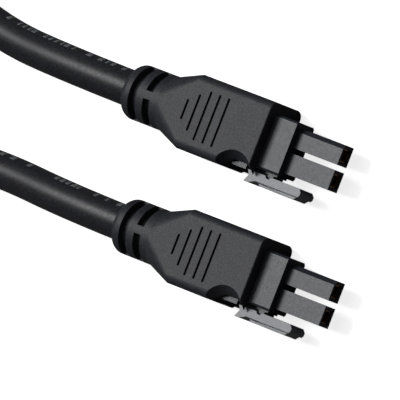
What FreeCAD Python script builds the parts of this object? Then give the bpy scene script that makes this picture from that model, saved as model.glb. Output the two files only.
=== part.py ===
import FreeCAD, Part
import math
import os
import re

import Sketcher
from FreeCAD import Placement, Rotation, Vector

# A two-way power jumper lead: a round two-core cable with the same moulded plug at both ends.
# Each plug is measured from the front face of its overmould: x runs out to the mating end, y is
# across the plug with the latch on the -y side, and z is up, with z = 0 at the plug's mid-height.
# In the row's frame z = 0 is the surface under the plugs, and x = y = 0 is under the middle of
# the first plug.

# alias, value in millimetres or degrees, what it is
SIZES = (
    ("cable_diameter", 10.5, "outside of the cable's sheath"),
    ("cable_entry", 15.5, "length of sheath inside the overmould"),
    ("strand_diameter", 2.95, "bunched copper conductor"),
    ("core_diameter", 4.3, "insulated core"),
    ("core_spacing", 4.8, "between the two cores in the cable"),
    ("contact_pitch", 7.5, "between the two contacts"),
    ("body_width", 22.0, "overmould across the latch"),
    ("body_thickness", 16.2, "overmould between its flat faces"),
    ("body_length", 26.5, "straight part of the overmould"),
    ("body_corner", 2.5, "rounding along the overmould"),
    ("body_edge", 0.45, "rounding of the overmould's front edge"),
    ("flare_length", 10.5, "overmould narrowing to the neck"),
    ("neck_flat", 0.1, "flat left where the flare meets the neck"),
    ("sleeve_wall", 0.8, "wall of the sleeve under the rings"),
    ("neck_length", 2.2, "neck behind the flare"),
    ("front_slit", 2.5, "width of the front flexing groove"),
    ("ring_length", 2.5, "ring between the grooves"),
    ("rear_slit", 2.7, "width of the rear flexing groove"),
    ("flange_length", 3.6, "end ring round the cable"),
    ("flange_rounding", 2.4, "rounding of the end ring"),
    ("bridge_angle", 17.0, "arc of each bridge over a groove, degrees"),
    ("slot_pitch", 3.23, "between grip slots"),
    ("slot_first", 14.2, "front grip slot to the front face"),
    ("slot_width", 0.75, "grip slot"),
    ("slot_depth", 1.0, "grip slot"),
    ("slot_length", 14.6, "long grip slots"),
    ("slot_short", 10.9, "fourth grip slot"),
    ("slot_shortest", 6.1, "fifth grip slot"),
    ("notch_radius", 6.85, "finger notch's sloping upper wall"),
    ("notch_back", 5.4, "finger notch's centre behind the front face"),
    ("notch_length", 11.1, "finger notch's well along the plug"),
    ("notch_corner", 2.0, "well's inner corner"),
    ("notch_edge", 5.5, "finger notch's upper edge from the plug's middle"),
    ("notch_floor", 7.2, "finger notch floor below mid-height"),
    ("block_width", 16.0, "housing block"),
    ("block_height", 9.0, "housing block"),
    ("block_reach", 7.7, "housing block out of the overmould"),
    ("block_root", 12.0, "housing block inside the overmould"),
    ("block_chamfer", 0.6, "housing block's long edges"),
    ("nose_length", 23.4, "front face to the tips of the silos"),
    ("silo_width", 5.94, "contact silo"),
    ("silo_height", 5.0, "contact silo"),
    ("silo_drop", 0.4, "silo centre below mid-height"),
    ("silo_key", 1.3, "keying chamfer on one silo"),
    ("silo_side_wall", 0.97, "silo wall beside the contact"),
    ("silo_floor_wall", 0.75, "silo wall above and below the contact"),
    ("barrel_wall", 0.42, "crimp barrel"),
    ("barrel_room", 0.15, "crimp barrel to its bore"),
    ("contact_gap", 0.1, "play of a contact in its cavity"),
    ("contact_wall", 0.3, "contact sheet"),
    ("contact_inset", 0.6, "contact tip behind the silo tip"),
    ("contact_length", 25.4, "contact box and transition"),
    ("barrel_length", 7.0, "crimp barrel"),
    ("barrel_gap", 0.04, "strand to crimp barrel"),
    ("beam_width", 0.8, "contact beam"),
    ("beam_pitch", 1.2, "between contact beams"),
    ("beam_sheet", 0.25, "contact beam sheet"),
    ("beam_length", 12.0, "contact beam"),
    ("beam_bow", 0.7, "contact beam's bow"),
    ("retainer_length", 2.0, "contact retainer plate"),
    ("core_gap", 0.1, "core to its hole"),
    ("core_block_width", 13.6, "inner moulding"),
    ("core_block_height", 8.4, "inner moulding"),
    ("web_start", 2.4, "latch web"),
    ("web_length", 4.0, "latch web"),
    ("web_height", 5.2, "latch web"),
    ("pivot_reach", 8.9, "latch pivot from the plug's middle"),
    ("knuckle_radius", 1.0, "end of the latch web"),
    ("knuckle_gap", 0.05, "latch lever to the web's end"),
    ("rail_start", 8.9, "rail beside the block, back from the front face"),
    ("rail_length", 5.0, "rail beside the block"),
    ("rail_width", 1.5, "rail beside the block"),
    ("rail_top", 3.3, "rail above mid-height"),
    ("rail_height", 1.3, "rail beside the block"),
    ("lever_gap", 1.2, "lever to the block"),
    ("lever_width", 2.5, "latch lever bar"),
    ("lever_height", 7.2, "latch lever"),
    ("lever_tail", 2.9, "lever behind the front face"),
    ("lever_nose", 16.4, "lever tip from the front face"),
    ("lever_nose_cut", 0.9, "corner taken off the lever's tip"),
    ("lip_width", 1.0, "lip along the lever"),
    ("lip_drop", 1.0, "lip below the lever's top"),
    ("lip_start", 1.2, "lip from the front face"),
    ("groove_width", 0.35, "groove between lever and lip"),
    ("groove_depth", 0.5, "groove between lever and lip"),
    ("far_plug_x", 13.6, "second plug ahead of the first"),
    ("far_plug_y", 36.1, "second plug beside the first"),
)
ALIASES = {alias for alias, value, note in SIZES}

# The cable's centre line from the first plug to the second, in the first plug's x and y, and
# its height above the surface. It leaves each plug straight and makes one return bend.
CABLE_HEIGHT_IN_PLUG = 8.1
CABLE_POINTS = (
    (-35.0, 0.0, CABLE_HEIGHT_IN_PLUG),
    (-68.0, 0.0, CABLE_HEIGHT_IN_PLUG),
    (-106.0, 1.6, 5.6),
    (-138.0, 14.0, 5.25),
    (-168.0, 36.0, 5.25),
    (-203.0, 41.0, 5.25),
    (-236.0, 23.0, 5.25),
    (-251.0, -12.0, 5.25),
    (-244.0, -49.0, 5.25),
    (-216.0, -74.0, 5.25),
    (-179.0, -77.0, 5.25),
    (-149.0, -60.0, 5.25),
    (-119.0, -37.0, 5.25),
    (-88.0, -34.0, 5.7),
    (-54.4, -36.1, CABLE_HEIGHT_IN_PLUG),
    (-21.4, -36.1, CABLE_HEIGHT_IN_PLUG),
)
ARC_SHARE = 0.45

# Lengths that several pieces share, as expressions on the sheet.
GROOVE_FRONT_END = "(body_length + flare_length + neck_length)"
RING_FRONT = "(body_length + flare_length + neck_length + front_slit)"
RING_REAR = "(body_length + flare_length + neck_length + front_slit + ring_length)"
FLANGE_FRONT = "(body_length + flare_length + neck_length + front_slit + ring_length + rear_slit)"
PLUG_REAR = ("(body_length + flare_length + neck_length + front_slit + ring_length + rear_slit"
             " + flange_length)")
SHEATH_END = f"({PLUG_REAR} - cable_entry)"
SLEEVE_RADIUS = "(cable_diameter / 2 + sleeve_wall)"
RING_RADIUS = "(body_thickness / 2 - neck_flat / 2)"
RETAINER_REAR = "(block_root + retainer_length)"
PIVOT_X = "(web_start + web_length / 2)"
LEVER_INNER = "(block_width / 2 + lever_gap)"
LEVER_OUTER = "(block_width / 2 + lever_gap + lever_width)"
LIP_OUTER = "(block_width / 2 + lever_gap + lever_width + lip_width)"
CAVITY_WIDTH = "(silo_width - 2 * silo_side_wall)"
CAVITY_HEIGHT = "(silo_height - 2 * silo_floor_wall)"
BARREL_RADIUS = "(strand_diameter / 2 + barrel_gap + barrel_wall)"
CONTACT_TIP = "(nose_length - contact_inset)"
CONTACT_REAR = "(nose_length - contact_inset - contact_length)"
CORE_RUN = 6.0
CORE_FAN_START = 4.0

doc = FreeCAD.newDocument("jumper_lead")
sheet = doc.addObject("Spreadsheet::Sheet", "sizes")


def fill_sheet():
    """Write every size to the sheet, with its alias."""
    for row, (alias, value, note) in enumerate(SIZES, start=1):
        sheet.set(f"A{row}", note)
        sheet.set(f"B{row}", str(value))
        sheet.setAlias(f"B{row}", alias)
    doc.recompute()


def on_sheet(text):
    """Put the sheet's name before each alias in an expression."""
    return re.sub(r"[a-z][a-z_]+", lambda word: qualified(word.group()), text)


def qualified(word):
    return "sizes." + word if word in ALIASES else word


def number(text):
    """Value of an expression on the sheet."""
    return float(sheet.evalExpression(on_sheet(text)))


# ---------------------------------------------------------------- sketches

def new_sketch(body, plane, offset="0"):
    """Sketch on one of the body's own planes, moved along its normal."""
    sketch = body.newObject("Sketcher::SketchObject", "sketch")
    face = next(feature for feature in body.Origin.OriginFeatures if feature.Role == plane)
    sketch.AttachmentSupport = [(face, "")]
    sketch.MapMode = "FlatFace"
    sketch.setExpression("AttachmentOffset.Base.z", on_sheet(offset))
    return sketch


def constrain(sketch, text, kind, *where):
    """Dimension bound to an expression."""
    index = sketch.addConstraint(Sketcher.Constraint(kind, *where, number(text)))
    sketch.setExpression(f"Constraints[{index}]", on_sheet(text))


def place_point(sketch, edge, end, across, up):
    constrain(sketch, across, "DistanceX", -1, 1, edge, end)
    constrain(sketch, up, "DistanceY", -1, 1, edge, end)


def add_polygon(sketch, corners):
    """Closed outline of straight edges, each corner bound to the sheet."""
    first = sketch.GeometryCount
    points = [Vector(number(across), number(up), 0) for across, up in corners]
    for index, point in enumerate(points):
        sketch.addGeometry(Part.LineSegment(point, points[(index + 1) % len(points)]), False)
    for index, (across, up) in enumerate(corners):
        following = first + (index + 1) % len(points)
        sketch.addConstraint(Sketcher.Constraint("Coincident", first + index, 2, following, 1))
        place_point(sketch, first + index, 1, across, up)


def add_rectangle(sketch, left, right, low, high):
    add_polygon(sketch, ((left, low), (right, low), (right, high), (left, high)))


def add_circle(sketch, across, up, radius):
    centre = Vector(number(across), number(up), 0)
    circle = sketch.addGeometry(Part.Circle(centre, Vector(0, 0, 1), number(radius)), False)
    place_point(sketch, circle, 3, across, up)
    constrain(sketch, radius, "Radius", circle)


def add_slot(sketch, across, length, width):
    """Round-ended slot along the sketch's second axis, centred on the first."""
    x = number(across)
    radius = number(width) / 2
    reach = f"({length} / 2 - {width} / 2)"
    y = number(reach)
    up = Vector(0, 0, 1)
    top = sketch.addGeometry(Part.ArcOfCircle(Part.Circle(Vector(x, y, 0), up, radius), 0, math.pi), False)
    bottom = sketch.addGeometry(
        Part.ArcOfCircle(Part.Circle(Vector(x, -y, 0), up, radius), math.pi, 2 * math.pi), False)
    left = sketch.addGeometry(Part.LineSegment(Vector(x - radius, y, 0), Vector(x - radius, -y, 0)), False)
    right = sketch.addGeometry(Part.LineSegment(Vector(x + radius, -y, 0), Vector(x + radius, y, 0)), False)
    for one, one_end, other, other_end in (
            (top, 2, left, 1), (left, 2, bottom, 1), (bottom, 2, right, 1), (right, 2, top, 1)):
        sketch.addConstraint(Sketcher.Constraint("Tangent", one, one_end, other, other_end))
    place_point(sketch, top, 3, across, reach)
    place_point(sketch, bottom, 3, across, f"-{reach}")
    constrain(sketch, f"{width} / 2", "Radius", top)


def add_rounded_rectangle(sketch, width, height, radius):
    """Rounded rectangle centred on the sketch's origin, as four sides and four corner arcs."""
    half_width = number(width) / 2
    half_height = number(height) / 2
    r = number(radius)
    up = Vector(0, 0, 1)
    edges = []
    for quarter in range(4):
        across = half_width if quarter in (0, 3) else -half_width
        high = half_height if quarter in (0, 1) else -half_height
        centre = Vector(across - math.copysign(r, across), high - math.copysign(r, high), 0)
        start = quarter * math.pi / 2
        arc = Part.ArcOfCircle(Part.Circle(centre, up, r), start, start + math.pi / 2)
        edges.append(sketch.addGeometry(arc, False))
        following = quarter + 1
        next_across = half_width if following in (3, 4) else -half_width
        next_high = half_height if following in (1, 4) else -half_height
        next_centre = Vector(next_across - math.copysign(r, next_across),
                             next_high - math.copysign(r, next_high), 0)
        end = start + math.pi / 2
        reach = Vector(r * math.cos(end), r * math.sin(end), 0)
        edges.append(sketch.addGeometry(Part.LineSegment(centre + reach, next_centre + reach), False))
    for index, edge in enumerate(edges):
        following = edges[(index + 1) % len(edges)]
        sketch.addConstraint(Sketcher.Constraint("Tangent", edge, 2, following, 1))
    signs = (("", ""), ("-", ""), ("-", "-"), ("", "-"))
    for quarter, (side, end) in enumerate(signs):
        place_point(sketch, edges[2 * quarter], 3, f"{side}({width} / 2 - {radius})",
                    f"{end}({height} / 2 - {radius})")
    constrain(sketch, radius, "Radius", edges[0])


# ---------------------------------------------------------------- features

def new_body(label):
    body = doc.addObject("PartDesign::Body", "body")
    body.Label = label
    return body


def extrude(body, kind, sketch, length, symmetric=False, backwards=False):
    """Pad or Pocket of a sketch."""
    feature = body.newObject("PartDesign::" + kind, kind.lower())
    feature.Profile = sketch
    feature.setExpression("Length", on_sheet(length))
    if symmetric:
        feature.SideType = "Symmetric"
    feature.Reversed = backwards
    return checked(body, feature, adds=kind == "Pad")


def turn(body, kind, sketch, angle="360"):
    """Revolution or Groove of a sketch about the x axis, centred on its plane."""
    feature = body.newObject("PartDesign::" + kind, kind.lower())
    feature.Profile = sketch
    feature.ReferenceAxis = (sketch, ["H_Axis"])
    feature.setExpression("Angle", on_sheet(angle))
    feature.Midplane = True
    return checked(body, feature, adds=kind == "Revolution")


def pipe(body, kind, profile, spine):
    """AdditivePipe or SubtractivePipe of a profile along a path."""
    feature = body.newObject("PartDesign::" + kind, kind.lower())
    feature.Profile = profile
    feature.Spine = (spine, [])
    return checked(body, feature, adds=kind == "AdditivePipe")


def dress(body, kind, size, picks):
    """Fillet or Chamfer of the tip's edges whose middle the test picks."""
    base = body.Tip
    names = [f"Edge{index}" for index, edge in enumerate(base.Shape.Edges, start=1) if picks(edge)]
    feature = body.newObject("PartDesign::" + kind, kind.lower())
    feature.Base = (base, names)
    feature.setExpression("Radius" if kind == "Fillet" else "Size", on_sheet(size))
    doc.recompute()
    require(feature)
    return feature


def checked(body, feature, adds):
    """Recompute and see that the feature changed the solid the right way."""
    before = feature.BaseFeature.Shape.Volume if feature.BaseFeature else 0.0
    doc.recompute()
    require(feature)
    change = feature.Shape.Volume - before
    if (change > 0) != adds or abs(change) < 1e-6:
        raise RuntimeError(f"{body.Label}: {feature.Name} changes the volume by {change:.4f}")
    return feature


def require(feature):
    if "Invalid" in feature.State or "Error" in feature.State or feature.Shape.isNull():
        raise RuntimeError(f"{feature.Name} failed: {feature.State}")


def middle(edge):
    return edge.valueAt((edge.FirstParameter + edge.LastParameter) / 2)


def near(a, b, play=0.01):
    return abs(a - b) < play


def box_along_x(body, kind, start, length, left, right, low, high):
    """Pad or Pocket of a rectangle standing across x, running towards +x."""
    sketch = new_sketch(body, "YZ_Plane", start)
    add_rectangle(sketch, left, right, low, high)
    return extrude(body, kind, sketch, length, backwards=kind == "Pocket")


# ---------------------------------------------------------------- overmould

def overmould(label):
    """Outer moulding: grip body, flare, segmented strain relief and finger notch."""
    body = new_body(label)
    front = new_sketch(body, "YZ_Plane", "-body_length")
    add_rounded_rectangle(front, "body_width", "body_thickness", "body_corner")
    extrude(body, "Pad", front, "body_length")
    dress(body, "Fillet", "body_edge", lambda edge: near(middle(edge).x, 0))
    flare(body)
    strain_relief(body)
    bridges(body)
    finger_notch(body)
    for side in (1, -1):
        grip_slots(body, side)
    overmould_cavity(body)
    return body


def flare(body):
    """Loft from the grip body's section to the neck's."""
    wide = new_sketch(body, "YZ_Plane", "-body_length")
    add_rounded_rectangle(wide, "body_width", "body_thickness", "body_corner")
    narrow = new_sketch(body, "YZ_Plane", "-body_length - flare_length")
    add_rounded_rectangle(narrow, "body_thickness", "body_thickness", "(body_thickness - neck_flat) / 2")
    loft = body.newObject("PartDesign::AdditiveLoft", "flare")
    loft.Profile = wide
    loft.Sections = [narrow]
    loft.Ruled = True
    checked(body, loft, adds=True)


def strain_relief(body):
    """Neck, ring and flange on one sleeve, with a flexing groove before and behind the ring."""
    sketch = new_sketch(body, "XY_Plane")
    ring = RING_RADIUS
    add_polygon(sketch, (
        ("-body_length - flare_length", "0"),
        ("-body_length - flare_length", ring),
        (f"-{GROOVE_FRONT_END}", ring),
        (f"-{GROOVE_FRONT_END}", SLEEVE_RADIUS),
        (f"-{RING_FRONT}", SLEEVE_RADIUS),
        (f"-{RING_FRONT}", ring),
        (f"-{RING_REAR}", ring),
        (f"-{RING_REAR}", SLEEVE_RADIUS),
        (f"-{FLANGE_FRONT}", SLEEVE_RADIUS),
        (f"-{FLANGE_FRONT}", ring),
        (f"-{PLUG_REAR}", ring),
        (f"-{PLUG_REAR}", "0"),
    ))
    turn(body, "Revolution", sketch)
    rear = -number(PLUG_REAR)
    radius = number(RING_RADIUS)
    dress(body, "Fillet", "flange_rounding",
          lambda edge: near(middle(edge).x, rear) and near(math.hypot(middle(edge).y, middle(edge).z), radius))


def bridges(body):
    """Arcs that join the rings: at the sides of both grooves, and above and below the front one."""
    front = (f"-{RING_FRONT}", f"-{GROOVE_FRONT_END}")
    rear = (f"-{FLANGE_FRONT}", f"-{RING_REAR}")
    for plane, (start, end) in (("XZ_Plane", front), ("XY_Plane", front), ("XY_Plane", rear)):
        for side in ("", "-"):
            sketch = new_sketch(body, plane)
            add_rectangle(sketch, start, end, f"{side}({SLEEVE_RADIUS} - sleeve_wall / 4)",
                          f"{side}{RING_RADIUS}")
            turn(body, "Revolution", sketch, "bridge_angle")


def finger_notch(body):
    """Finger notch on the latch side: a round wall slopes down to the block, then a well drops to a floor."""
    inner = "(-block_width / 2 + 0.2)"
    top = new_sketch(body, "XY_Plane", "body_thickness / 2")
    add_circle(top, "-notch_back", "-notch_edge - notch_radius", "notch_radius")
    foot = new_sketch(body, "XY_Plane", "block_height / 2")
    add_circle(foot, "-notch_back", f"{inner} - notch_radius", "notch_radius")
    scoop = body.newObject("PartDesign::SubtractiveLoft", "scoop")
    scoop.Profile = top
    scoop.Sections = [foot]
    scoop.Ruled = True
    checked(body, scoop, adds=False)
    well = new_sketch(body, "XY_Plane", "-notch_floor")
    add_rectangle(well, "-notch_length", "body_edge + 1", "-body_width / 2 - 1", inner)
    extrude(body, "Pocket", well, "notch_floor + block_height / 2", backwards=True)
    inner_x = -number("notch_length")
    inner_y = number(inner)
    dress(body, "Fillet", "notch_corner",
          lambda edge: near(middle(edge).x, inner_x) and near(middle(edge).y, inner_y))


def grip_slots(body, side):
    """Five slots across a flat face, shorter towards the cable."""
    sketch = new_sketch(body, "XY_Plane", f"{side} * body_thickness / 2")
    lengths = ("slot_length", "slot_length", "slot_length", "slot_short", "slot_shortest")
    for index, length in enumerate(lengths):
        add_slot(sketch, f"-slot_first - {index} * slot_pitch", length, "slot_width")
    extrude(body, "Pocket", sketch, "slot_depth", backwards=side < 0)


def overmould_cavity(body):
    """Room for the cable's sheath, the inner moulding and the root of the housing."""
    bore = new_sketch(body, "YZ_Plane", f"-{PLUG_REAR}")
    add_circle(bore, "0", "0", "cable_diameter / 2")
    extrude(body, "Pocket", bore, "cable_entry", backwards=True)
    box_along_x(body, "Pocket", f"-{SHEATH_END}", SHEATH_END,
                "-core_block_width / 2", "core_block_width / 2",
                "-core_block_height / 2", "core_block_height / 2")
    box_along_x(body, "Pocket", "-block_root", "block_root",
                "-block_width / 2", "block_width / 2", "-block_height / 2", "block_height / 2")


# ---------------------------------------------------------------- inside the overmould

def core_path(body, side):
    """Path of one core: straight, fanning out to the contact pitch, and straight again."""
    start = -number(SHEATH_END)
    y_in = side * number("core_spacing") / 2
    y_out = side * number("contact_pitch") / 2
    fan_in = start + CORE_FAN_START
    fan_out = fan_in + CORE_RUN
    sketch = new_sketch(body, "XY_Plane", "-silo_drop")
    sign = "" if side > 0 else "-"
    corners = (
        (f"-{SHEATH_END}", f"{sign}core_spacing / 2", start, y_in),
        (f"-{SHEATH_END} + {CORE_FAN_START}", f"{sign}core_spacing / 2", fan_in, y_in),
        (f"-{SHEATH_END} + {CORE_FAN_START + CORE_RUN}", f"{sign}contact_pitch / 2", fan_out, y_out),
    )
    return sketch, corners


def core_run(body, kind, side, radii, end):
    """Pipe along one core from the sheath's end to the given place, with one or two circles."""
    spine, corners = core_path(body, side)
    points = [Vector(x, y, 0) for across, up, x, y in corners]
    points.append(Vector(number(end), points[-1].y, 0))
    for index in range(len(points) - 1):
        spine.addGeometry(Part.LineSegment(points[index], points[index + 1]), False)
        if index:
            spine.addConstraint(Sketcher.Constraint("Coincident", index - 1, 2, index, 1))
    for index, (across, up, x, y) in enumerate(corners):
        place_point(spine, index, 1, across, up)
    constrain(spine, end, "DistanceX", -1, 1, len(points) - 2, 2)
    spine.addConstraint(Sketcher.Constraint("Horizontal", len(points) - 2))
    profile = new_sketch(body, "YZ_Plane", f"-{SHEATH_END}")
    for radius in radii:
        add_circle(profile, corners[0][1], "-silo_drop", radius)
    return pipe(body, kind, profile, spine)


def core_insulation(label, side):
    """Insulation of one core."""
    body = new_body(label)
    core_run(body, "AdditivePipe", side, ("core_diameter / 2", "strand_diameter / 2"),
             "-block_root")
    return body


def conductor_strands(label, side):
    """Copper of one core, bare in the crimp barrel."""
    body = new_body(label)
    core_run(body, "AdditivePipe", side, ("strand_diameter / 2",),
             f"{CONTACT_REAR} - 1")
    return body


def inner_moulding(label):
    """Block moulded round the fanned cores before the outer moulding."""
    body = new_body(label)
    box_along_x(body, "Pad", f"-{SHEATH_END}", f"{SHEATH_END} - {RETAINER_REAR}",
                "-core_block_width / 2", "core_block_width / 2",
                "-core_block_height / 2", "core_block_height / 2")
    for side in (1, -1):
        core_run(body, "SubtractivePipe", side, ("core_diameter / 2 + core_gap",),
                 f"-{RETAINER_REAR}")
    return body


def terminal_retainer(label):
    """Plate behind the housing that keeps the contacts in, with a hole for each core."""
    body = new_body(label)
    box_along_x(body, "Pad", f"-{RETAINER_REAR}", "retainer_length",
                "-core_block_width / 2", "core_block_width / 2",
                "-core_block_height / 2", "core_block_height / 2")
    holes = new_sketch(body, "YZ_Plane", f"-{RETAINER_REAR}")
    for side in ("", "-"):
        add_circle(holes, f"{side}contact_pitch / 2", "-silo_drop", "core_diameter / 2 + core_gap")
    extrude(body, "Pocket", holes, "retainer_length", backwards=True)
    return body


# ---------------------------------------------------------------- housing and contacts

def housing(label):
    """Insulating block with two silos, the latch's web and the rail beside it."""
    body = new_body(label)
    box_along_x(body, "Pad", "-block_root", "block_root + block_reach",
                "-block_width / 2", "block_width / 2", "-block_height / 2", "block_height / 2")
    half_width = number("block_width") / 2
    half_height = number("block_height") / 2
    dress(body, "Chamfer", "block_chamfer",
          lambda edge: near(abs(middle(edge).y), half_width) and near(abs(middle(edge).z), half_height))
    silos(body)
    latch_web(body)
    box_along_x(body, "Pad", "-rail_start", "rail_length",
                "-block_width / 2 - rail_width", "-block_width / 2 + 0.5",
                "rail_top - rail_height", "rail_top")
    return body


def silos(body):
    """Two silos with their contact cavities; one silo's outer upper edge is keyed."""
    for side in ("", "-"):
        centre = f"{side}contact_pitch / 2"
        box_along_x(body, "Pad", "block_reach", "nose_length - block_reach",
                    f"{centre} - silo_width / 2", f"{centre} + silo_width / 2",
                    "-silo_drop - silo_height / 2", "-silo_drop + silo_height / 2")
    edge_y = number("contact_pitch / 2 + silo_width / 2")
    edge_z = number("-silo_drop + silo_height / 2")
    reach = number("block_reach")
    dress(body, "Chamfer", "silo_key",
          lambda edge: near(middle(edge).y, edge_y) and near(middle(edge).z, edge_z)
          and middle(edge).x > reach)
    for side in ("", "-"):
        centre = f"{side}contact_pitch / 2"
        box_along_x(body, "Pocket", "-block_root", "block_root + nose_length",
                    f"{centre} - {CAVITY_WIDTH} / 2", f"{centre} + {CAVITY_WIDTH} / 2",
                    f"-silo_drop - {CAVITY_HEIGHT} / 2", f"-silo_drop + {CAVITY_HEIGHT} / 2")
        bore = new_sketch(body, "YZ_Plane", "-block_root")
        add_circle(bore, centre, "-silo_drop", f"{BARREL_RADIUS} + barrel_room")
        extrude(body, "Pocket", bore, f"block_root + {CONTACT_REAR}", backwards=True)


def latch_web(body):
    """Web from the block to the latch, with a round end for the lever to rock on."""
    sketch = new_sketch(body, "XY_Plane")
    add_rectangle(sketch, "web_start", "web_start + web_length",
                  "-block_width / 2 - lever_gap / 2", "-block_width / 2 + 0.5")
    extrude(body, "Pad", sketch, "web_height", symmetric=True)
    knuckle = new_sketch(body, "XY_Plane")
    add_circle(knuckle, PIVOT_X, "-pivot_reach", "knuckle_radius")
    extrude(body, "Pad", knuckle, "web_height", symmetric=True)


def contact_body(label, side):
    """Folded female contact: a box open at the tip, on a crimp barrel."""
    body = new_body(label)
    centre = f"{side}contact_pitch / 2"
    half_width = f"({CAVITY_WIDTH} / 2 - contact_gap)"
    half_height = f"({CAVITY_HEIGHT} / 2 - contact_gap)"
    box_along_x(body, "Pad", CONTACT_REAR, "contact_length",
                f"{centre} - {half_width}", f"{centre} + {half_width}",
                f"-silo_drop - {half_height}", f"-silo_drop + {half_height}")
    box_along_x(body, "Pocket", f"{CONTACT_REAR} + contact_wall", "contact_length",
                f"{centre} - {half_width} + contact_wall", f"{centre} + {half_width} - contact_wall",
                f"-silo_drop - {half_height} + contact_wall", f"-silo_drop + {half_height} - contact_wall")
    barrel = new_sketch(body, "YZ_Plane", f"{CONTACT_REAR} - barrel_length")
    add_circle(barrel, centre, "-silo_drop", BARREL_RADIUS)
    extrude(body, "Pad", barrel, "barrel_length")
    bore = new_sketch(body, "YZ_Plane", f"{CONTACT_REAR} - barrel_length")
    add_circle(bore, centre, "-silo_drop", "strand_diameter / 2 + barrel_gap")
    extrude(body, "Pocket", bore, "barrel_length", backwards=True)
    return body


def contact_spring(label, side):
    """Pair of bowed beams in the contact, joined by a root strip under its roof."""
    body = new_body(label)
    roof = f"({CAVITY_HEIGHT} / 2 - contact_gap - contact_wall - silo_drop)"
    tip = f"({CONTACT_TIP} - 0.5)"
    for offset in ("+", "-"):
        centre = f"({side}contact_pitch / 2 {offset} beam_pitch / 2)"
        sketch = new_sketch(body, "XZ_Plane", f"-{centre}")
        add_polygon(sketch, (
            (f"{tip} - beam_length", f"{roof}"),
            (f"{tip} - beam_length", f"{roof} - beam_sheet"),
            (f"{tip} - beam_length / 3", f"{roof} - beam_sheet - beam_bow"),
            (tip, f"{roof} - beam_sheet - beam_bow / 2"),
            (tip, f"{roof} - beam_bow / 2"),
            (f"{tip} - beam_length / 3", f"{roof} - beam_bow"),
            (f"{tip} - beam_length * 0.9", f"{roof}"),
        ))
        extrude(body, "Pad", sketch, "beam_width", symmetric=True)
    box_along_x(body, "Pad", f"{tip} - beam_length - 1", "1.2",
                f"{side}contact_pitch / 2 - beam_pitch / 2 - beam_width / 2",
                f"{side}contact_pitch / 2 + beam_pitch / 2 + beam_width / 2",
                f"{roof} - beam_sheet", roof)
    return body


def latch_lever(label):
    """Rocking side latch: bar with a notched tail, a lip along it and a seat for the web's end."""
    body = new_body(label)
    bar = new_sketch(body, "XY_Plane")
    add_polygon(bar, (
        ("-lever_tail", f"-{LEVER_INNER}"),
        ("-lever_tail + lever_width / 3", f"-{LEVER_INNER} - lever_width * 0.6"),
        ("-lever_tail - 0.2", f"-{LIP_OUTER}"),
        ("-lever_tail + 1.4", f"-{LIP_OUTER}"),
        ("lip_start - 0.4", f"-{LEVER_OUTER}"),
        ("lever_nose - 0.5", f"-{LEVER_OUTER}"),
        ("lever_nose", f"-{LEVER_OUTER} + 0.6"),
        ("lever_nose", f"-{LEVER_INNER} - lever_nose_cut"),
        ("lever_nose - lever_nose_cut", f"-{LEVER_INNER}"),
    ))
    extrude(body, "Pad", bar, "lever_height", symmetric=True)
    lip = new_sketch(body, "XY_Plane", "-lever_height / 2")
    add_polygon(lip, (
        ("lip_start - 0.6", f"-{LEVER_OUTER} + 0.4"),
        ("lip_start + 1", f"-{LIP_OUTER}"),
        ("lever_nose - 2.2", f"-{LIP_OUTER}"),
        ("lever_nose - 0.8", f"-{LEVER_OUTER} + 0.4"),
    ))
    extrude(body, "Pad", lip, "lever_height - lip_drop")
    groove = new_sketch(body, "XY_Plane", "lever_height / 2 - lip_drop")
    add_rectangle(groove, "lip_start + 0.2", "lever_nose + 1",
                  f"-{LEVER_OUTER} - groove_width / 2", f"-{LEVER_OUTER} + groove_width / 2")
    extrude(body, "Pocket", groove, "groove_depth")
    seat = new_sketch(body, "XY_Plane")
    add_circle(seat, PIVOT_X, "-pivot_reach", "knuckle_radius + knuckle_gap")
    extrude(body, "Pocket", seat, "lever_height * 2", symmetric=True)
    return body


# ---------------------------------------------------------------- cable

def rounded_path(points):
    """Straight runs joined by tangent arcs as large as the runs allow."""
    radii = []
    edges = []
    start = points[0]
    for before, corner, after in zip(points, points[1:], points[2:]):
        inward = (before - corner).normalize()
        outward = (after - corner).normalize()
        turned = math.pi - inward.getAngle(outward)
        setback = ARC_SHARE * min((corner - before).Length, (after - corner).Length)
        radius = setback / math.tan(turned / 2)
        arc_start = corner + inward * setback
        arc_end = corner + outward * setback
        towards_centre = (inward + outward).normalize()
        centre = corner + towards_centre * math.hypot(setback, radius)
        arc_middle = centre - towards_centre * radius
        edges.append(Part.LineSegment(start, arc_start).toShape())
        edges.append(Part.Arc(arc_start, arc_middle, arc_end).toShape())
        start = arc_end
        radii.append(radius)
    edges.append(Part.LineSegment(start, points[-1]).toShape())
    return Part.Wire(edges), radii


def cable_sheath(label, to_row):
    """Cable from one plug to the other, as one tube."""
    points = [Vector(x, y, z) + Vector(to_row.x, to_row.y, 0) for x, y, z in CABLE_POINTS]
    path, radii = rounded_path(points)
    radius = number("cable_diameter") / 2
    section = Part.Wire(Part.Circle(points[0], points[1] - points[0], radius).toShape())
    tube = path.makePipeShell([section], True, False)
    cable = doc.addObject("Part::Feature", "cable")
    cable.Shape = tube
    cable.Label = label
    cable.Placement = Placement()
    print("cable radii", [round(value, 1) for value in radii])
    print("cable length", round(path.Length, 1), "volume / (section x length)",
          round(tube.Volume / (math.pi * radius ** 2 * path.Length), 4))
    return cable


# ---------------------------------------------------------------- assembly

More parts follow.
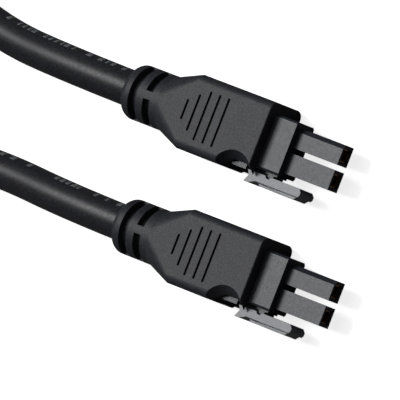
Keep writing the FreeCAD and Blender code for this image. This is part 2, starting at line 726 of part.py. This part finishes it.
def plug(prefix):
    """Every piece of one plug, in the plug's own frame."""
    pieces = [
        overmould(prefix + "overmould"),
        inner_moulding(prefix + "inner_moulding"),
        terminal_retainer(prefix + "terminal_retainer"),
        housing(prefix + "housing"),
        latch_lever(prefix + "latch_lever"),
    ]
    for name, side in (("plus", 1), ("minus", -1)):
        sign = "" if side > 0 else "-"
        pieces.append(contact_body(f"{prefix}{name}_contact", sign))
        pieces.append(contact_spring(f"{prefix}{name}_contact_spring", sign))
        pieces.append(core_insulation(f"{prefix}{name}_core_insulation", side))
        pieces.append(conductor_strands(f"{prefix}{name}_conductor", side))
    return pieces


def stand(pieces, x, y):
    """Stand a plug on the surface, with its own origin at the given place."""
    for piece in pieces:
        for axis, text in (("x", x), ("y", y), ("z", "body_thickness / 2")):
            piece.setExpression(f"Placement.Base.{axis}", on_sheet(text))


def save(pieces):
    """Check every object of the document, then write one file for each piece."""
    doc.recompute()
    for item in doc.Objects:
        if "Invalid" in item.State or "Error" in item.State:
            raise RuntimeError(f"{item.Name} failed: {item.State}")
    for piece in pieces:
        if piece.Shape.isNull() or not piece.Shape.isValid():
            raise RuntimeError(f"{piece.Label} has no valid shape")
    os.makedirs("parts", exist_ok=True)
    for piece in pieces:
        piece.Shape.exportStep(f"parts/{piece.Label}.step")
        print(piece.Label, len(piece.Shape.Solids), "solid, volume", round(piece.Shape.Volume, 1))


fill_sheet()
MIDDLE_X = f"({PLUG_REAR} - nose_length) / 2"
MIDDLE_Y = f"({LIP_OUTER} - body_width / 2) / 2"
near_plug = plug("near_")
stand(near_plug, MIDDLE_X, MIDDLE_Y)
far_plug = plug("far_")
stand(far_plug, f"{MIDDLE_X} + far_plug_x", f"{MIDDLE_Y} - far_plug_y")
lead = cable_sheath("cable", Vector(number(MIDDLE_X), number(MIDDLE_Y), 0))
save(near_plug + far_plug + [lead])
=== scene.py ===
"""Looks of a two-way power jumper lead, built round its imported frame.

Every length is in metres and every place is in the frame's own axes: +X runs out of the plugs towards
their mating ends, +Y runs across them away from the latches, and +Z is up from the surface they lie on.
"""
import logging
import math
from dataclasses import dataclass, field
from enum import Enum

import bmesh
import bpy
from mathutils import Matrix, Vector


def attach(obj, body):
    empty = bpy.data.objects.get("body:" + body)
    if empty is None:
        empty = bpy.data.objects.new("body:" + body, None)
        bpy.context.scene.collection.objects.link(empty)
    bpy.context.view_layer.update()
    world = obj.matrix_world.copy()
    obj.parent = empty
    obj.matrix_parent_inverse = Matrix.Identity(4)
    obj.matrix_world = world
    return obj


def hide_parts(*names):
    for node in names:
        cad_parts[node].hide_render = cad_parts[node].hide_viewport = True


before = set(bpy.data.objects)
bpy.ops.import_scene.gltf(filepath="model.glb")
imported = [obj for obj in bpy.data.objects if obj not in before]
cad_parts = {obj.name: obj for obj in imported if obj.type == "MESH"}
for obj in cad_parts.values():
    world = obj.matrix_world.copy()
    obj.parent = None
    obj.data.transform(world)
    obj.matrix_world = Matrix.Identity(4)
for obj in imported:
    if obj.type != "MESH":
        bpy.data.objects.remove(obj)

LOG = logging.getLogger("jumper_lead")
MM = 0.001
MERGE_DISTANCE = 0.0001 * MM
FLAT_TURN = math.radians(0.6)
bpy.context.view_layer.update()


class Plug(Enum):
    """The lead's two plugs, by the prefix of their nodes."""

    NEAR = "near_"
    FAR = "far_"


class Pole(Enum):
    """The two ways of a plug."""

    PLUS = "plus_"
    MINUS = "minus_"


# ---------------------------------------------------------------- shader building


class Shade:
    """Small helper round a node tree, for materials and for shader groups."""

    def __init__(self, tree: bpy.types.NodeTree) -> None:
        """Keep the tree that nodes are added to.

        Args:
            tree: the material's or the group's node tree.
        """
        self.tree = tree

    def node(self, kind: str, **settings: object) -> bpy.types.Node:
        """Add a node.

        Args:
            kind: the node's type, without "ShaderNode".
            settings: properties to set on it.

        Returns:
            The new node.
        """
        made = self.tree.nodes.new("ShaderNode" + kind)
        for name, value in settings.items():
            setattr(made, name, value)
        return made

    def feed(self, socket: bpy.types.NodeSocket, value: object) -> None:
        """Link or set an input.

        Args:
            socket: the input.
            value: an output socket to link, or a plain value.
        """
        if isinstance(value, bpy.types.NodeSocket):
            self.tree.links.new(value, socket)
        else:
            socket.default_value = value

    def math(self, operation: str, *values: object) -> bpy.types.NodeSocket:
        """Add a Math node.

        Args:
            operation: what it does.
            values: its inputs in order, each a socket or a number.

        Returns:
            Its result.
        """
        made = self.node("Math", operation=operation)
        for socket, value in zip(made.inputs, values):
            self.feed(socket, value)
        return made.outputs[0]

    def noise(self, vector: bpy.types.NodeSocket, scale: object,
              detail: float = 3.0) -> bpy.types.NodeSocket:
        """Add a Noise Texture.

        Args:
            vector: where it is sampled.
            scale: its scale, a socket or a number.
            detail: its detail.

        Returns:
            Its value.
        """
        made = self.node("TexNoise")
        self.feed(made.inputs["Vector"], vector)
        self.feed(made.inputs["Scale"], scale)
        made.inputs["Detail"].default_value = detail
        return made.outputs["Fac"]

    def remap(self, value: object, low: float, high: float,
              to_low: float, to_high: float) -> bpy.types.NodeSocket:
        """Add a clamped Map Range.

        Args:
            value: what is mapped, a socket or a number.
            low: low end of the value.
            high: high end of the value.
            to_low: result at the low end.
            to_high: result at the high end.

        Returns:
            Its result.
        """
        made = self.node("MapRange")
        for socket, item in zip(made.inputs, (value, low, high, to_low, to_high)):
            self.feed(socket, item)
        return made.outputs["Result"]

    def blend(self, share: object, first: object, second: object) -> bpy.types.NodeSocket:
        """Mix two colours.

        Args:
            share: how much of the second colour, a socket or a number.
            first: the first colour, a socket or a value.
            second: the second colour, a socket or a value.

        Returns:
            The mixed colour.
        """
        made = self.node("Mix", data_type="RGBA")
        self.feed(made.inputs["Factor"], share)
        self.feed(made.inputs[6], first)
        self.feed(made.inputs[7], second)
        return made.outputs[2]


def grey(tone: float) -> tuple[float, float, float, float]:
    """Neutral colour of one tone."""
    return (tone, tone, tone, 1.0)


def shader_group(
    name: str,
    inputs: dict[str, tuple[str, object]],
    outputs: dict[str, str],
) -> tuple[bpy.types.NodeTree, Shade, bpy.types.Node, bpy.types.Node]:
    """Make an empty shader group.

    Args:
        name: the group's name.
        inputs: socket type and default value of each input, by name.
        outputs: socket type of each output, by name.

    Returns:
        The group, its helper, its Group Input node and its Group Output node.
    """
    group = bpy.data.node_groups.new(name, "ShaderNodeTree")
    for label, (kind, default) in inputs.items():
        socket = group.interface.new_socket(name=label, in_out="INPUT", socket_type="NodeSocket" + kind)
        if default is not None:
            socket.default_value = default
    for label, kind in outputs.items():
        group.interface.new_socket(name=label, in_out="OUTPUT", socket_type="NodeSocket" + kind)
    return group, Shade(group), group.nodes.new("NodeGroupInput"), group.nodes.new("NodeGroupOutput")


def moulded_skin_group() -> bpy.types.NodeTree:
    """Spark-eroded moulding skin: fine grain with a slight mottle of colour and gloss.

    Returns:
        A group with Color, Roughness and Height outputs.
    """
    group, shade, given, out = shader_group(
        "moulded_skin",
        {
            "Vector": ("Vector", None),
            "Color": ("Color", (0.05, 0.05, 0.055, 1)),
            "Grain": ("Float", 2600.0),
            "Mottle": ("Float", 0.25),
            "Roughness": ("Float", 0.55),
        },
        {"Color": "Color", "Roughness": "Float", "Height": "Float"},
    )
    vector = given.outputs["Vector"]
    grain = shade.noise(vector, given.outputs["Grain"], 2.0)
    cloud = shade.noise(vector, 170.0, 4.0)
    speck = shade.remap(grain, 0.35, 0.68, 0.0, 1.0)
    dark = shade.math("MULTIPLY", given.outputs["Mottle"], shade.remap(cloud, 0.3, 0.7, 0.0, 1.0))
    tone = shade.math("SUBTRACT", shade.math("ADD", 1.0, shade.math("MULTIPLY", speck, 0.7)), dark)
    scaled = shade.node("VectorMath", operation="SCALE")
    shade.feed(scaled.inputs[0], given.outputs["Color"])
    shade.feed(scaled.inputs["Scale"], tone)
    shade.feed(out.inputs["Color"], scaled.outputs[0])
    rough = shade.math("ADD", given.outputs["Roughness"],
                       shade.math("MULTIPLY", shade.math("SUBTRACT", speck, 0.5), 0.12))
    shade.feed(out.inputs["Roughness"], rough)
    shade.feed(out.inputs["Height"], grain)
    return group


def drawn_metal_group() -> bpy.types.NodeTree:
    """Stamped strip metal: fine lines along the strip and faint stains.

    Returns:
        A group with Color, Roughness and Height outputs.
    """
    group, shade, given, out = shader_group(
        "drawn_metal",
        {
            "Vector": ("Vector", None),
            "Color": ("Color", (0.8, 0.6, 0.35, 1)),
            "Stain": ("Color", (0.45, 0.22, 0.1, 1)),
            "Roughness": ("Float", 0.3),
        },
        {"Color": "Color", "Roughness": "Float", "Height": "Float"},
    )
    stretch = shade.node("Mapping")
    shade.feed(stretch.inputs["Vector"], given.outputs["Vector"])
    stretch.inputs["Scale"].default_value = (300.0, 9000.0, 9000.0)
    lines = shade.noise(stretch.outputs[0], 1.0, 2.0)
    stain = shade.noise(given.outputs["Vector"], 600.0, 3.0)
    share = shade.remap(stain, 0.42, 0.62, 0.0, 0.7)
    shade.feed(out.inputs["Color"], shade.blend(share, given.outputs["Color"], given.outputs["Stain"]))
    shade.feed(out.inputs["Roughness"],
               shade.math("ADD", given.outputs["Roughness"], shade.math("MULTIPLY", lines, 0.15)))
    shade.feed(out.inputs["Height"], lines)
    return group


class Groups:
    """The shader groups, each built once."""

    def __init__(self) -> None:
        """Build both groups."""
        self.moulded_skin = moulded_skin_group()
        self.drawn_metal = drawn_metal_group()


@dataclass(frozen=True)
class Finish:
    """One finish: a Principled surface fed by a shader group."""

    name: str
    colour: tuple[float, float, float]
    roughness: float

    def start(self) -> tuple[bpy.types.Material, Shade, bpy.types.Node, bpy.types.NodeSocket]:
        """Make the material with its surface and output.

        Returns:
            The material, its helper, its Principled node and the Object coordinates.
        """
        made = bpy.data.materials.new(self.name)
        made.use_nodes = True
        made.node_tree.nodes.clear()
        shade = Shade(made.node_tree)
        surface = shade.node("BsdfPrincipled")
        out = shade.node("OutputMaterial")
        shade.feed(out.inputs["Surface"], surface.outputs[0])
        return made, shade, surface, shade.node("TexCoord").outputs["Object"]

    def place(self, shade: Shade, group: bpy.types.NodeTree, **values: object) -> bpy.types.Node:
        """Put a shader group in the material.

        Args:
            shade: the material's helper.
            group: the shader group.
            values: its inputs by name, each a socket or a value.

        Returns:
            The group's node.
        """
        made = shade.node("Group", node_tree=group)
        for name, value in values.items():
            shade.feed(made.inputs[name], value)
        return made

    def bump(self, shade: Shade, surface: bpy.types.Node, height: bpy.types.NodeSocket,
             strength: float, distance: float) -> None:
        """Feed a height to the surface's normal through a Bump node.

        Args:
            shade: the material's helper.
            surface: the Principled node.
            height: the height.
            strength: share of the bump that shows.
            distance: depth of the bump.
        """
        made = shade.node("Bump")
        made.inputs["Strength"].default_value = strength
        made.inputs["Distance"].default_value = distance
        shade.feed(made.inputs["Height"], height)
        shade.feed(surface.inputs["Normal"], made.outputs[0])


@dataclass(frozen=True)
class MouldedFinish(Finish):
    """Moulded plastic with a grained skin."""

    grain: float = 2600.0
    mottle: float = 0.25
    depth: float = 0.03 * MM
    relief: float = 0.6
    specular: float = 0.5

    def material(self, groups: Groups) -> bpy.types.Material:
        """Build the material.

        Args:
            groups: the shader groups.

        Returns:
            The material.
        """
        made, shade, surface, place = self.start()
        skin = self.place(shade, groups.moulded_skin, Vector=place, Color=(*self.colour, 1),
                          Grain=self.grain, Mottle=self.mottle, Roughness=self.roughness)
        shade.feed(surface.inputs["Base Color"], skin.outputs["Color"])
        shade.feed(surface.inputs["Roughness"], skin.outputs["Roughness"])
        surface.inputs["Specular IOR Level"].default_value = self.specular
        self.bump(shade, surface, skin.outputs["Height"], self.relief, self.depth)
        return made


@dataclass(frozen=True)
class MetalFinish(Finish):
    """Stamped or drawn copper alloy."""

    stain: tuple[float, float, float] = (0.42, 0.2, 0.09)
    depth: float = 0.01 * MM
    relief: float = 0.3

    def material(self, groups: Groups) -> bpy.types.Material:
        """Build the material.

        Args:
            groups: the shader groups.

        Returns:
            The material.
        """
        made, shade, surface, place = self.start()
        metal = self.place(shade, groups.drawn_metal, Vector=place, Color=(*self.colour, 1),
                           Stain=(*self.stain, 1), Roughness=self.roughness)
        surface.inputs["Metallic"].default_value = 1.0
        shade.feed(surface.inputs["Base Color"], metal.outputs["Color"])
        shade.feed(surface.inputs["Roughness"], metal.outputs["Roughness"])
        self.bump(shade, surface, metal.outputs["Height"], self.relief, self.depth)
        return made


@dataclass(frozen=True)
class SheathFinish(Finish):
    """Extruded cable sheath with a row of plain ink marks along it."""

    ink: tuple[float, float, float] = (0.3, 0.31, 0.33)
    mark_pitch: float = 2.15 * MM
    mark_height: float = 0.062
    mark_start: float = 0.922
    mark_end: float = 0.578
    turn_start: float = 0.12
    turn_end: float = 0.4
    shortest_mark: float = 0.3
    longest_mark: float = 0.8
    left_out: float = 0.22
    second_draw: float = 57.3
    grain: float = 1500.0
    mottle: float = 0.15
    depth: float = 0.02 * MM
    relief: float = 0.35

    def marks(self, shade: Shade, along: bpy.types.NodeSocket,
              around: bpy.types.NodeSocket) -> bpy.types.NodeSocket:
        """Mask of the ink: short blocks of uneven width, some left out.

        Args:
            shade: the material's helper.
            along: metres along the cable.
            around: share of the way round it.

        Returns:
            1 where there is ink.
        """
        step = shade.math("DIVIDE", along, self.mark_pitch)
        cell = shade.math("FLOOR", step)
        part = shade.math("FRACT", step)
        chance = shade.node("TexWhiteNoise", noise_dimensions="1D")
        shade.feed(chance.inputs["W"], cell)
        width = shade.remap(chance.outputs["Value"], 0.0, 1.0, self.shortest_mark, self.longest_mark)
        inside = shade.math("LESS_THAN", part, width)
        second = shade.node("TexWhiteNoise", noise_dimensions="1D")
        shade.feed(second.inputs["W"], shade.math("ADD", cell, self.second_draw))
        kept = shade.math("GREATER_THAN", second.outputs["Value"], self.left_out)
        line = shade.remap(along, self.turn_start, self.turn_end, self.mark_start, self.mark_end)
        off = shade.math("ABSOLUTE", shade.math("SUBTRACT", around, line))
        band = shade.math("LESS_THAN", off, self.mark_height / 2)
        slit_off = shade.math("ABSOLUTE", shade.math("SUBTRACT", off, self.mark_height / 6))
        slit = shade.math("GREATER_THAN", slit_off, self.mark_height / 22)
        block = shade.math("MULTIPLY", inside, kept)
        return shade.math("MULTIPLY", block, shade.math("MULTIPLY", band, slit))

    def material(self, groups: Groups) -> bpy.types.Material:
        """Build the material.

        Args:
            groups: the shader groups.

        Returns:
            The material.
        """
        made, shade, surface, place = self.start()
        along = shade.node("Attribute", attribute_name="along").outputs["Fac"]
        around = shade.node("Attribute", attribute_name="around").outputs["Fac"]
        skin = self.place(shade, groups.moulded_skin, Vector=place, Color=(*self.colour, 1),
                          Grain=self.grain, Mottle=self.mottle, Roughness=self.roughness)
        worn = shade.remap(shade.noise(place, 2200.0, 3.0), 0.36, 0.5, 0.35, 0.9)
        ink = shade.math("MULTIPLY", self.marks(shade, along, around), worn)
        shade.feed(surface.inputs["Base Color"],
                   shade.blend(ink, skin.outputs["Color"], (*self.ink, 1)))
        shade.feed(surface.inputs["Roughness"], skin.outputs["Roughness"])
        self.bump(shade, surface, skin.outputs["Height"], self.relief, self.depth)
        return made


@dataclass(frozen=True)
class FloorFinish(Finish):
    """Plain pale studio paper, which the camera sees brighter than it lights the plugs."""

    faint_tone: float = 0.92
    bounce_tone: float = 0.12
    cloud_scale: float = 14.0
    lift: float = 0.8

    def material(self, groups: Groups) -> bpy.types.Material:
        """Build the material.

        Args:
            groups: the shader groups, none of which it uses.

        Returns:
            The material.
        """
        made, shade, surface, place = self.start()
        tone = shade.remap(shade.noise(place, self.cloud_scale, 2.0), 0.3, 0.7, 0.0, 1.0)
        seen = shade.node("LightPath").outputs["Is Camera Ray"]
        paper = shade.blend(tone, grey(self.faint_tone), (*self.colour, 1))
        shade.feed(surface.inputs["Base Color"], shade.blend(seen, grey(self.bounce_tone), paper))
        surface.inputs["Roughness"].default_value = self.roughness
        surface.inputs["Specular IOR Level"].default_value = 0.0
        surface.inputs["Emission Color"].default_value = grey(1.0)
        shade.feed(surface.inputs["Emission Strength"], shade.math("MULTIPLY", seen, self.lift))
        return made


class Finishes:
    """Every finish of the lead, by the record's slot."""

    def __init__(self) -> None:
        """Build the groups, then each material."""
        groups = Groups()
        every = (
            MouldedFinish("overmould_plastic", (0.026, 0.027, 0.035), 0.55,
                          grain=2300.0, mottle=0.35, depth=0.12 * MM),
            MouldedFinish("housing_plastic", (0.026, 0.028, 0.038), 0.42, grain=3200.0, mottle=0.2),
            # The lever's plastic is given a much paler colour than the housing's: painted highlight
            # standing in for the sheen on its lit top.
            MouldedFinish("lever_plastic", (0.15, 0.155, 0.175), 0.42,
                          grain=3200.0, mottle=0.1, depth=0.01 * MM, specular=0.7),
            MouldedFinish("inner_plastic", (0.12, 0.12, 0.12), 0.6),
            MouldedFinish("retainer_plastic", (0.55, 0.53, 0.48), 0.4),
            MouldedFinish("red_insulation", (0.42, 0.02, 0.02), 0.35),
            MouldedFinish("black_insulation", (0.025, 0.025, 0.027), 0.35),
            MetalFinish("contact_metal", (0.83, 0.56, 0.33), 0.28),
            MetalFinish("copper_strands", (0.85, 0.46, 0.28), 0.3),
            SheathFinish("cable_jacket", (0.017, 0.0175, 0.022), 0.42),
            FloorFinish("paper", (0.94, 0.94, 0.94), 0.9),
        )
        self.by_name = {finish.name: finish.material(groups) for finish in every}

    def __getitem__(self, name: str) -> bpy.types.Material:
        """Material of a slot."""
        return self.by_name[name]


# ---------------------------------------------------------------- meshes


def link(made: bpy.types.Object) -> bpy.types.Object:
    """Put an object in the scene."""
    bpy.context.scene.collection.objects.link(made)
    return made


def merged_copy(node: str, name: str, material: bpy.types.Material) -> bpy.types.Object:
    """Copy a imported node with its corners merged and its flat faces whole.

    Args:
        node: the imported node.
        name: the new piece's name.
        material: its material.

    Returns:
        The new object, in the scene.
    """
    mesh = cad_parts[node].data.copy()
    mesh.name = name
    work = bmesh.new()
    work.from_mesh(mesh)
    bmesh.ops.remove_doubles(work, verts=work.verts, dist=MERGE_DISTANCE)
    bmesh.ops.dissolve_limit(work, angle_limit=FLAT_TURN, verts=work.verts, edges=work.edges)
    for face in work.faces:
        face.smooth = True
        face.material_index = 0
    work.to_mesh(mesh)
    work.free()
    mesh.materials.clear()
    mesh.materials.append(material)
    return link(bpy.data.objects.new(name, mesh))


def soften(piece: bpy.types.Object, width: float, segments: int, angle: float) -> None:
    """Round a moulded piece's sharp edges and keep its flats flat.

    Args:
        piece: the piece.
        width: width of the rounding.
        segments: faces across it.
        angle: edges that turn by more than this are rounded, in degrees.
    """
    bevel = piece.modifiers.new("edges", "BEVEL")
    bevel.width = width
    bevel.segments = segments
    bevel.limit_method = "ANGLE"
    bevel.angle_limit = math.radians(angle)
    bevel.use_clamp_overlap = True
    flats = piece.modifiers.new("flats", "WEIGHTED_NORMAL")
    flats.mode = "FACE_AREA"
    flats.weight = 100
    depsgraph = bpy.context.evaluated_depsgraph_get()
    mesh = bpy.data.meshes.new_from_object(piece.evaluated_get(depsgraph))
    piece.modifiers.clear()
    piece.data = mesh


# ---------------------------------------------------------------- the cable


@dataclass
class Cable:
    """The sheathed cable from the near plug to the far one."""

    diameter: float = 10.5 * MM
    to_frame: Vector = field(default_factory=lambda: Vector((13.55 * MM, 0.85 * MM, 0.0)))
    exit_back: float = 50.5 * MM
    ring_spacing: float = 1.1 * MM
    sides: int = 56
    line_order: int = 3
    line_steps: int = 24

    def route(self) -> list[Vector]:
        """Centre line's control points, from the near plug to the far one.

        Returns:
            The points in the frame's axes.
        """
        in_plug = 8.1
        lying = 5.25
        points = (
            (-35.0, 0.0, in_plug),
            (-68.0, 0.0, in_plug),
            (-106.0, 1.6, 5.6),
            (-138.0, 14.0, lying),
            (-168.0, 36.0, lying),
            (-203.0, 41.0, lying),
            (-236.0, 23.0, lying),
            (-251.0, -12.0, lying),
            (-244.0, -49.0, lying),
            (-216.0, -74.0, lying),
            (-179.0, -77.0, lying),
            (-149.0, -60.0, lying),
            (-119.0, -37.0, lying),
            (-88.0, -34.0, 5.7),
            (-54.4, -36.1, in_plug),
            (-21.4, -36.1, in_plug),
        )
        return [Vector(point) * MM + self.to_frame for point in points]

    def centre_line(self) -> bpy.types.Object:
        """Route as one open NURBS spline.

        Returns:
            The curve object, in the scene.
        """
        curve = bpy.data.curves.new("cable_line", "CURVE")
        curve.dimensions = "3D"
        spline = curve.splines.new("NURBS")
        points = self.route()
        spline.points.add(len(points) - 1)
        for point, place in zip(spline.points, points):
            point.co = (*place, 1.0)
        spline.order_u = self.line_order
        spline.use_endpoint_u = True
        spline.resolution_u = self.line_steps
        return link(bpy.data.objects.new("cable_line", curve))

    def tree(self, material: bpy.types.Material) -> bpy.types.NodeTree:
        """Geometry Nodes that sweep a round section along the centre line.

        Args:
            material: the sheath's material.

        Returns:
            The tree, with Radius, Spacing and Sides inputs.
        """
        tree = bpy.data.node_groups.new("cable_sheath", "GeometryNodeTree")
        interface = tree.interface
        interface.new_socket(name="Geometry", in_out="INPUT", socket_type="NodeSocketGeometry")
        interface.new_socket(name="Radius", in_out="INPUT", socket_type="NodeSocketFloat")
        interface.new_socket(name="Spacing", in_out="INPUT", socket_type="NodeSocketFloat")
        interface.new_socket(name="Sides", in_out="INPUT", socket_type="NodeSocketInt")
        interface.new_socket(name="Geometry", in_out="OUTPUT", socket_type="NodeSocketGeometry")
        add = tree.nodes.new
        join = tree.links.new
        given = add("NodeGroupInput")
        upright = add("GeometryNodeSetCurveNormal")
        upright.mode = "Z_UP"
        rings = add("GeometryNodeResampleCurve")
        rings.mode = "LENGTH"
        section = add("GeometryNodeCurvePrimitiveCircle")
        sweep = add("GeometryNodeCurveToMesh")
        sweep.inputs["Fill Caps"].default_value = True
        paint = add("GeometryNodeSetMaterial")
        paint.inputs["Material"].default_value = material
        smooth = add("GeometryNodeSetShadeSmooth")
        real = add("GeometryNodeRealizeInstances")
        out = add("NodeGroupOutput")
        join(given.outputs["Geometry"], upright.inputs["Curve"])
        join(upright.outputs["Curve"], rings.inputs["Curve"])
        join(given.outputs["Spacing"], rings.inputs["Length"])
        join(given.outputs["Radius"], section.inputs["Radius"])
        join(given.outputs["Sides"], section.inputs["Resolution"])
        along = self.named(tree, "along", rings.outputs["Curve"], "Length")
        around = self.named(tree, "around", section.outputs["Curve"], "Factor")
        join(along, sweep.inputs["Curve"])
        join(around, sweep.inputs["Profile Curve"])
        join(sweep.outputs["Mesh"], smooth.inputs["Geometry"])
        join(smooth.outputs["Geometry"], real.inputs["Geometry"])
        join(real.outputs["Geometry"], paint.inputs["Geometry"])
        join(paint.outputs["Geometry"], out.inputs["Geometry"])
        return tree

    @staticmethod
    def named(tree: bpy.types.NodeTree, name: str, geometry: bpy.types.NodeSocket,
              measure: str) -> bpy.types.NodeSocket:
        """Store a measure of the spline on its points.

        Args:
            tree: the tree.
            name: the attribute's name.
            geometry: the curve.
            measure: the Spline Parameter output to store.

        Returns:
            The curve with the attribute.
        """
        where = tree.nodes.new("GeometryNodeSplineParameter")
        store = tree.nodes.new("GeometryNodeStoreNamedAttribute")
        store.data_type = "FLOAT"
        store.domain = "POINT"
        store.inputs["Name"].default_value = name
        tree.links.new(geometry, store.inputs["Geometry"])
        tree.links.new(where.outputs[measure], store.inputs["Value"])
        return store.outputs["Geometry"]

    def build(self, material: bpy.types.Material) -> tuple[bpy.types.Object, list[Vector]]:
        """Sweep the sheath into a plain mesh.

        Args:
            material: the sheath's material.

        Returns:
            The cable and the points that it follows.
        """
        line = self.centre_line()
        depsgraph = bpy.context.evaluated_depsgraph_get()
        bare = bpy.data.meshes.new_from_object(line.evaluated_get(depsgraph))
        path = [vertex.co.copy() for vertex in bare.vertices]
        tree = self.tree(material)
        modifier = line.modifiers.new("sheath", "NODES")
        modifier.node_group = tree
        values = {"Radius": self.diameter / 2, "Spacing": self.ring_spacing, "Sides": self.sides}
        for item in tree.interface.items_tree:
            if item.in_out == "INPUT" and item.name in values:
                modifier[item.identifier] = values[item.name]
        line.update_tag()
        depsgraph = bpy.context.evaluated_depsgraph_get()
        mesh = bpy.data.meshes.new_from_object(line.evaluated_get(depsgraph))
        mesh.name = "cable_sheath"
        bpy.data.objects.remove(line)
        return link(bpy.data.objects.new("cable_sheath", mesh)), path

    def dress(self, finishes: Finishes, far_pieces: list[bpy.types.Object]) -> None:
        """Args:
            finishes: the finishes.
            far_pieces: the far plug's pieces, which are on the cable; not used.
        """
        piece, path = self.build(finishes["cable_jacket"])
        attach(piece, "lead")
        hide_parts("cable")
        leaves = self.route()[0].copy()
        leaves.x = self.to_frame.x - self.exit_back


# ---------------------------------------------------------------- the plugs


@dataclass
class PlugDress:
    """One plug's pieces: softened copies of the moulded ones, and finishes for the rest."""

    plug: Plug
    overmould_edge: float = 0.22 * MM
    housing_edge: float = 0.1 * MM
    lever_edge: float = 0.07 * MM
    edge_segments: int = 2
    edge_turn: float = 32.0
    pieces: list[bpy.types.Object] = field(default_factory=list)

    def moulded(self, part: str, body: str, edge: float, material: bpy.types.Material) -> None:
        """Replace a moulded node by a softened copy.

        Args:
            part: the node's name without the plug's prefix.
            body: the body it rides on.
            edge: width of its edge rounding.
            material: its finish.
        """
        node = self.plug.value + part
        piece = merged_copy(node, node + "_moulding", material)
        soften(piece, edge, self.edge_segments, self.edge_turn)
        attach(piece, body)
        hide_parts(node)
        self.pieces.append(piece)
        LOG.info("%s: softened copy of %s, on %s", piece.name, node, body)

    def painted(self, part: str, slot: str, finishes: Finishes) -> None:
        """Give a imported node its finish.

        Args:
            part: the node's name without the plug's prefix.
            slot: its material slot.
            finishes: the finishes.
        """
        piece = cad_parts[self.plug.value + part]
        for holder in piece.material_slots:
            holder.material = finishes[slot]
        self.pieces.append(piece)
        LOG.info("%s: packed piece in %s", piece.name, slot)

    def dress(self, finishes: Finishes) -> None:
        """Dress every piece of the plug.

        Args:
            finishes: the finishes.
        """
        latch = self.plug.value + "latch"
        self.moulded("overmould", "lead", self.overmould_edge,
                     finishes["overmould_plastic"])
        self.moulded("housing", "lead", self.housing_edge, finishes["housing_plastic"])
        self.moulded("latch_lever", latch, self.lever_edge, finishes["lever_plastic"])
        self.painted("inner_moulding", "inner_plastic", finishes)
        self.painted("terminal_retainer", "retainer_plastic", finishes)
        insulation = {Pole.PLUS: "red_insulation", Pole.MINUS: "black_insulation"}
        for pole in Pole:
            self.painted(pole.value + "contact", "contact_metal", finishes)
            self.painted(pole.value + "contact_spring", "contact_metal", finishes)
            self.painted(pole.value + "core_insulation", insulation[pole], finishes)
            self.painted(pole.value + "conductor", "copper_strands", finishes)
        LOG.info("%splug: %d pieces", self.plug.value, len(self.pieces))


# ---------------------------------------------------------------- the studio


@dataclass(frozen=True)
class Lamp:
    """A square soft light: where it is, its side and its power in watts."""

    name: str
    place: tuple[float, float, float]
    size: float
    power: float


@dataclass
class Studio:
    """Camera, floor and lights."""

    tilt: float = 34.0
    roll: float = 21.2
    aim: Vector = field(default_factory=lambda: Vector((-3.07, -21.32, 8.1)) * MM)
    view_width: float = 112.0 * MM
    lens: float = 1200.0
    sensor: float = 36.0
    nearest: float = 0.01
    farthest: float = 20.0
    floor_size: float = 6.0
    key: Lamp = Lamp("key", (-0.62, 0.1, 1.15), 0.55, 9.5)
    top: Lamp = Lamp("top", (-0.15, 0.2, 1.5), 0.9, 2.4)
    surround: float = 0.045

    def axes(self) -> tuple[Vector, Vector, Vector]:
        """Camera's right, up and backward directions.

        Returns:
            Three unit vectors.
        """
        tilt = math.radians(self.tilt)
        roll = math.radians(self.roll)
        backward = Vector((math.sin(tilt), 0.0, math.cos(tilt)))
        along = Vector((math.cos(tilt), 0.0, -math.sin(tilt)))
        across = Vector((0.0, 1.0, 0.0))
        right = along * math.cos(roll) + across * math.sin(roll)
        up = across * math.cos(roll) - along * math.sin(roll)
        return right, up, backward

    def camera(self) -> None:
        """Long-lens camera over the plugs."""
        right, up, backward = self.axes()
        data = bpy.data.cameras.new("camera")
        data.lens = self.lens
        data.sensor_width = self.sensor
        camera = link(bpy.data.objects.new("camera", data))
        distance = self.view_width * self.lens / self.sensor
        turned = Matrix((right, up, backward)).transposed().to_4x4()
        camera.matrix_world = Matrix.Translation(self.aim + backward * distance) @ turned
        data.clip_start = self.nearest
        data.clip_end = self.farthest
        bpy.context.scene.camera = camera

    def floor(self, finishes: Finishes) -> None:
        """Lay pale paper under the lead.

        Args:
            finishes: the finishes.
        """
        mesh = bpy.data.meshes.new("floor")
        work = bmesh.new()
        bmesh.ops.create_grid(work, x_segments=4, y_segments=4, size=self.floor_size / 2)
        work.to_mesh(mesh)
        work.free()
        mesh.materials.append(finishes["paper"])
        link(bpy.data.objects.new("floor", mesh))

    def light(self, lamp: Lamp) -> None:
        """Hang a light and aim it at the plugs.

        Args:
            lamp: the light.
        """
        data = bpy.data.lights.new(lamp.name, "AREA")
        data.size = lamp.size
        data.energy = lamp.power
        hung = link(bpy.data.objects.new(lamp.name, data))
        hung.location = lamp.place
        aim = self.aim - Vector(lamp.place)
        hung.rotation_euler = aim.to_track_quat("-Z", "Y").to_euler()

    def lights(self) -> None:
        """Hang both lights and set a dim neutral surround."""
        for lamp in (self.key, self.top):
            self.light(lamp)
        world = bpy.data.worlds.new("surround")
        world.use_nodes = True
        backdrop = world.node_tree.nodes["Background"]
        backdrop.inputs["Color"].default_value = grey(1.0)
        backdrop.inputs["Strength"].default_value = self.surround
        bpy.context.scene.world = world
        bpy.context.scene.view_settings.view_transform = "Standard"


def main() -> None:
    """Build the scene: camera, plugs, the cable, floor and lights."""
    logging.basicConfig(level=logging.INFO, format="%(message)s")
    finishes = Finishes()
    studio = Studio()
    studio.camera()
    plugs = {plug: PlugDress(plug) for plug in Plug}
    for dress in plugs.values():
        dress.dress(finishes)
    Cable().dress(finishes, plugs[Plug.FAR].pieces)
    studio.floor(finishes)
    studio.lights()


if __name__ == "__main__":
    main()
